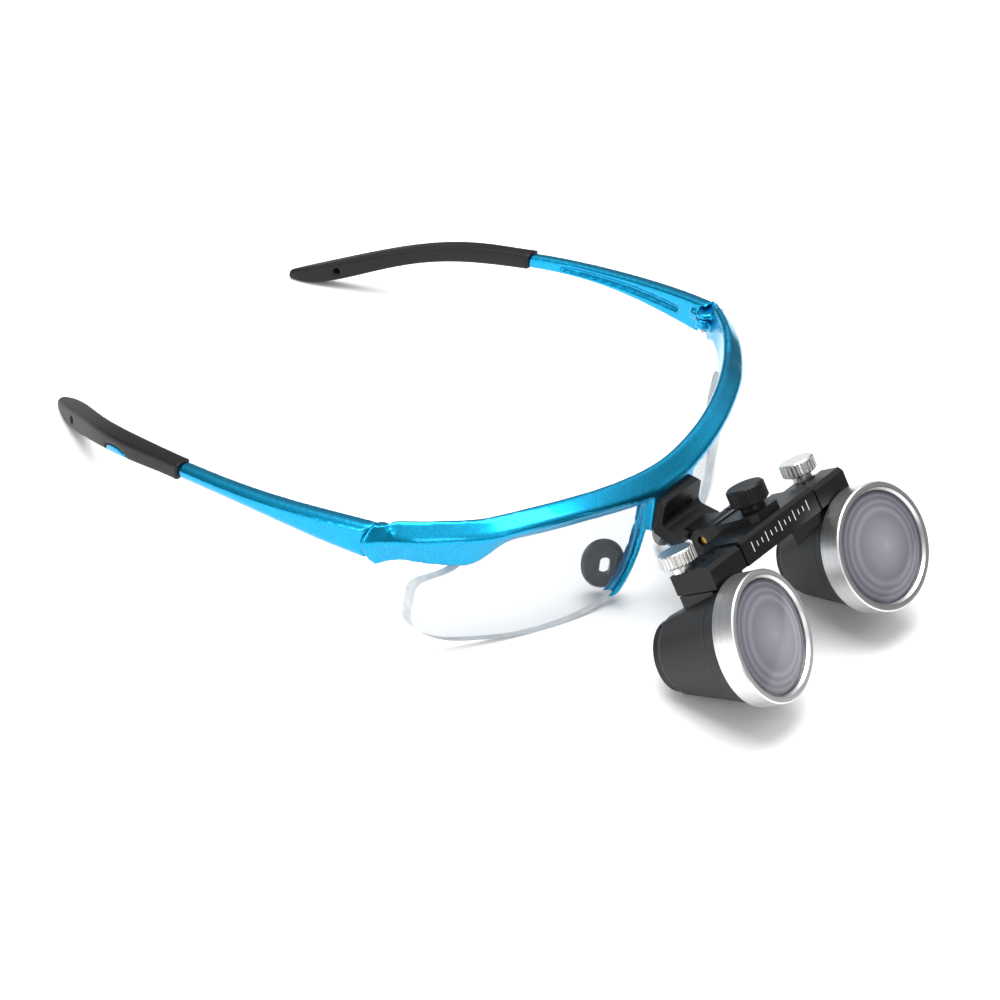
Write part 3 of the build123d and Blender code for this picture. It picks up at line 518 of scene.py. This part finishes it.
def copyOf(nodeName, newName):
    # the copy is a closed mesh, ready to shape
    deselectAll()
    nodes[nodeName].select_set(True)
    bpy.context.view_layer.objects.active = nodes[nodeName]
    bpy.ops.object.duplicate()
    piece = bpy.context.active_object
    piece.name = newName
    piece.data.name = newName
    piece.parent = None
    for key in list(piece.keys()):
        del piece[key]
    bpy.ops.object.mode_set(mode="EDIT")
    bpy.ops.mesh.select_all(action="SELECT")
    bpy.ops.mesh.remove_doubles(threshold=weldDistance)
    bpy.ops.object.mode_set(mode="OBJECT")
    bpy.ops.mesh.customdata_custom_splitnormals_clear()
    bpy.ops.object.shade_smooth_by_angle(angle=smoothAngle)
    return piece


def soften(piece, voxelMm, passes):
    # rounds every edge of a moulded part: an even mesh, relaxed a few times
    remesh = piece.modifiers.new("evenMesh", "REMESH")
    remesh.mode = "VOXEL"
    remesh.voxel_size = voxelMm * mm
    bpy.ops.object.modifier_apply(modifier="evenMesh")
    relax = piece.modifiers.new("relax", "SMOOTH")
    relax.factor = 0.5
    relax.iterations = passes
    bpy.ops.object.modifier_apply(modifier="relax")
    bpy.ops.object.shade_smooth()


# The ends of the spectacle front rise to the height of the temple arms, and the hinge lugs
# stay below them.
endRise = {
    "fromX": 60.0, "aheadOfHinge": 3.6, "rise": 1.5, "reach": 14.0,
    "lugRadius": 3.0, "lugFrom": 1.6, "lugDrop": 1.5,
}


def selectPoints(piece, chosen):
    bpy.ops.object.mode_set(mode="EDIT")
    bpy.ops.mesh.select_all(action="DESELECT")
    bpy.ops.object.mode_set(mode="OBJECT")
    for vertex in piece.data.vertices:
        vertex.select = chosen(vertex.co)
    bpy.ops.object.mode_set(mode="EDIT")


def raiseEnds(piece):
    for sign in (-1, 1):
        hingeLine = Vector((sign * hingeX * mm, hingePlace.y))
        endOuter = endRise["fromX"] * mm
        endRear = hingePlace.y - endRise["aheadOfHinge"] * mm
        lugFoot = hingePlace.z + endRise["lugFrom"] * mm
        selectPoints(
            piece,
            lambda at: sign * at.x > endOuter and at.y < endRear and at.z > hingePlace.z,
        )
        bpy.ops.transform.translate(
            value=(0, 0, endRise["rise"] * mm), use_proportional_edit=True,
            proportional_edit_falloff="SMOOTH", proportional_size=endRise["reach"] * mm,
            use_proportional_connected=False,
        )
        selectPoints(
            piece,
            lambda at: (at.xy - hingeLine).length < endRise["lugRadius"] * mm and at.z > lugFoot,
        )
        bpy.ops.transform.translate(value=(0, 0, -endRise["lugDrop"] * mm))
        bpy.ops.object.mode_set(mode="OBJECT")


# Mouldings: the lacquered spectacle front and temple arms and the rubber tips, with the soft
# edges that they come out of the mould with.
mouldings = {
    "front_frame": ("spectacleMoulding", "spectacle_front", 9),
    "right_temple": ("rightTempleMoulding", "right_temple_arm", 9),
    "left_temple": ("leftTempleMoulding", "left_temple_arm", 9),
    "right_temple_tip": ("rightTipMoulding", "right_temple_arm", 8),
    "left_temple_tip": ("leftTipMoulding", "left_temple_arm", 8),
}
mouldingVoxelMm = 0.4
for nodeName, (pieceName, body, passes) in mouldings.items():
    moulding = copyOf(nodeName, pieceName)
    soften(moulding, mouldingVoxelMm, passes)
    if nodeName == "front_frame":
        raiseEnds(moulding)
    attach(moulding, body)
    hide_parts(nodeName)
print("mouldings made")

# Clear panes: the broad faces stay clear and the ground edge, cut straight through from the
# front, is its own finish.
edgeTilt = 0.05
for side in ("right", "left"):
    pane = copyOf(side + "_lens", side + "ClearPane")
    pane.data.materials.clear()
    pane.data.materials.append(clearSheet)
    pane.data.materials.append(sheetEdge)
    for face in pane.data.polygons:
        face.material_index = 1 if abs(face.normal.y) < edgeTilt else 0
    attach(pane, "spectacle_front")
    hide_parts(side + "_lens")
print("panes made")


def turnedTube(name, profile, front, look):
    # profile holds (radius, depth behind the front) in mm and comes back to where it began
    deselectAll()
    spinTurn = look.to_track_quat("Z", "Y").to_euler()
    radius, depth = profile[0]
    bpy.ops.mesh.primitive_circle_add(
        vertices=72, radius=radius * mm, location=front - look * depth * mm, rotation=spinTurn,
    )
    tube = bpy.context.active_object
    tube.name = name
    tube.data.name = name
    bpy.ops.object.transform_apply(location=True, rotation=True, scale=True)
    bpy.ops.object.mode_set(mode="EDIT")
    bpy.ops.mesh.select_mode(type="EDGE")
    bpy.ops.mesh.select_all(action="SELECT")
    for newRadius, newDepth in profile[1:]:
        bpy.ops.mesh.extrude_edges_move()
        bpy.ops.transform.translate(value=look * (depth - newDepth) * mm)
        bpy.ops.transform.resize(
            value=(newRadius / radius,) * 3, center_override=front - look * newDepth * mm,
        )
        radius, depth = newRadius, newDepth
    bpy.ops.mesh.select_all(action="SELECT")
    bpy.ops.mesh.remove_doubles(threshold=10 * weldDistance)
    bpy.ops.mesh.normals_make_consistent(inside=False)
    bpy.ops.object.mode_set(mode="OBJECT")
    bpy.ops.object.shade_smooth_by_angle(angle=smoothAngle)
    return tube


# Grooved inner walls of the barrels, seen through the glass as rings.
tubeWall = {
    "rings": 6, "startDepth": 9.2, "pitch": 2.4, "radius": 11.6, "narrowing": 0.9,
    "groove": 0.75, "slope": 0.1, "land": 1.1, "rearWall": 0.35, "outerRadius": 12.4,
}
for side, (front, look) in barrels.items():
    profile = []
    for ring in range(tubeWall["rings"]):
        depth = tubeWall["startDepth"] + ring * tubeWall["pitch"]
        radius = tubeWall["radius"] - ring * tubeWall["narrowing"]
        inner = radius - tubeWall["groove"]
        landEnd = depth + tubeWall["land"]
        profile += [(radius, depth), (inner, depth + tubeWall["slope"]), (inner, landEnd)]
    profile += [(radius + tubeWall["rearWall"], landEnd)]
    profile += [(tubeWall["outerRadius"], tubeWall["startDepth"]), profile[0]]
    wall = turnedTube(side + "GroovedWall", profile, front, look)
    wall.data.materials.append(innerWall)
    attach(wall, side + "_optic")

# White fill of the engraved scale, a little below the face. Every third tick is a tall one.
scaleFill = {
    "reachTicks": 6, "pitch": 1.9, "width": 0.3, "depth": 0.2, "tall": 2.5, "short": 1.3,
    "height": -2.1, "face": 17.65, "sunk": 0.03, "rounding": 0.05,
}
deselectAll()
tickTurn = Matrix((Vector((1, 0, 0)), -ahead, above)).transposed().to_euler()
tickReach = scaleFill["face"] - scaleFill["sunk"] - scaleFill["depth"] / 2
ticks = []
for tick in range(-scaleFill["reachTicks"], scaleFill["reachTicks"] + 1):
    tickHeight = scaleFill["tall"] if tick % 3 == 0 else scaleFill["short"]
    bpy.ops.mesh.primitive_cube_add(
        size=1, location=onFlipUnit(tick * scaleFill["pitch"], tickReach, scaleFill["height"]),
        rotation=tickTurn,
        scale=(scaleFill["width"] * mm, scaleFill["depth"] * mm, tickHeight * mm),
    )
    ticks.append(bpy.context.active_object)
    bpy.ops.object.transform_apply(location=True, rotation=True, scale=True)
    bpy.ops.object.mode_set(mode="EDIT")
    bpy.ops.mesh.bevel(offset=scaleFill["rounding"] * mm, segments=2)
    bpy.ops.object.mode_set(mode="OBJECT")
deselectAll()
for bar in ticks:
    bar.select_set(True)
bpy.context.view_layer.objects.active = ticks[0]
bpy.ops.object.join()
ticks[0].name = "scaleFill"
ticks[0].data.name = "scaleFill"
bpy.ops.object.origin_set(type="ORIGIN_CURSOR")
ticks[0].data.materials.append(enamel)
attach(ticks[0], "flip_unit")
print("tube walls and scale made")

# A plain pale paper floor.
floorLook = {
    "size": 6, "cloudMm": 83.3, "dark": "#F6F6F6", "light": "#FAFAFA", "rough": 0.8,
    "specular": 0.1,
}
bpy.ops.mesh.primitive_plane_add(size=floorLook["size"], location=(0, 0, 0))
floor = bpy.context.active_object
floor.name = "floor"
floorMaterial, tree, place = startMaterial("palePaperFloor")
paper = addNode(
    tree, "ShaderNodeTexNoise", inputs={"Scale": 1 / (floorLook["cloudMm"] * mm), "Detail": 2},
    links={"Vector": place},
)
tone = addNode(
    tree, "ShaderNodeValToRGB", links={"Fac": paper.outputs[0]},
    stops=[(0.3, linear(floorLook["dark"])), (0.7, linear(floorLook["light"]))],
)
shader = addNode(
    tree, "ShaderNodeBsdfPrincipled",
    inputs={"Roughness": floorLook["rough"], "Specular IOR Level": floorLook["specular"]},
    links={"Base Color": tone.outputs[0]},
)
endMaterial(tree, shader)
floor.data.materials.append(floorMaterial)

# Studio surroundings: dim near the horizon, so that sides stay deep, and bright overhead.
skyLook = {"strength": 1.0, "greys": [(0.0, 0.1), (0.3, 0.14), (0.55, 0.5), (0.8, 1.0)]}
world = bpy.data.worlds.new("studio")
bpy.context.scene.world = world
world.use_nodes = True
sky = world.node_tree
direction = addNode(sky, "ShaderNodeTexCoord").outputs["Generated"]
height = addNode(sky, "ShaderNodeSeparateXYZ", links={"Vector": direction})
skyTone = addNode(
    sky, "ShaderNodeValToRGB", links={"Fac": height.outputs["Z"]},
    stops=[(position, grey(value)) for position, value in skyLook["greys"]],
)
sky.links.new(skyTone.outputs["Color"], sky.nodes["Background"].inputs["Color"])
sky.nodes["Background"].inputs["Strength"].default_value = skyLook["strength"]
bpy.context.scene.view_settings.view_transform = "Standard"

# Softboxes: place and aim in metres, then width, height and power in watts.
softboxes = {
    "topSoftbox": ((0.0, 0.1, 0.9), (0, 0, 0), 0.9, 0.7, 11),
    "frontSoftbox": ((-0.55, -0.75, 0.45), (0, -0.03, 0.02), 0.45, 0.45, 1.8),
    "leftSoftbox": ((-0.85, 0.25, 0.35), (0, 0, 0.02), 0.22, 0.6, 2.2),
}
for name, (place, target, width, height, power) in softboxes.items():
    light = bpy.data.lights.new(name, "AREA")
    light.shape = "RECTANGLE"
    light.size = width
    light.size_y = height
    light.energy = power
    holder = bpy.data.objects.new(name, light)
    bpy.context.scene.collection.objects.link(holder)
    holder.location = place
    holder.rotation_euler = (Vector(target) - Vector(place)).to_track_quat("-Z", "Y").to_euler()

# The camera stands off the wearer's right side and above, and is rolled a little.
camera = {
    "azimuth": -52.666, "elevation": 31.245, "tilt": -6.58, "lens": 111.073, "sensor": 36,
    "nearest": 0.05,
}
cameraPlace = Vector((-517.05, -348.56, 438.54)) * mm
azimuth = math.radians(camera["azimuth"])
elevation = math.radians(camera["elevation"])
right = Vector((math.cos(azimuth), math.sin(azimuth), 0))
back = Vector((
    math.sin(azimuth) * math.cos(elevation),
    -math.cos(azimuth) * math.cos(elevation),
    math.sin(elevation),
))
up = back.cross(right)
turn = Matrix((right, up, back)).transposed().to_4x4()
tilt = Matrix.Rotation(math.radians(camera["tilt"]), 4, "X")
cameraData = bpy.data.cameras.new("camera")
cameraData.lens = camera["lens"]
cameraData.sensor_width = camera["sensor"]
cameraData.clip_start = camera["nearest"]
cameraHolder = bpy.data.objects.new("camera", cameraData)
bpy.context.scene.collection.objects.link(cameraHolder)
cameraHolder.matrix_world = Matrix.Translation(cameraPlace) @ tilt @ turn
bpy.context.scene.camera = cameraHolder
print("studio ready")
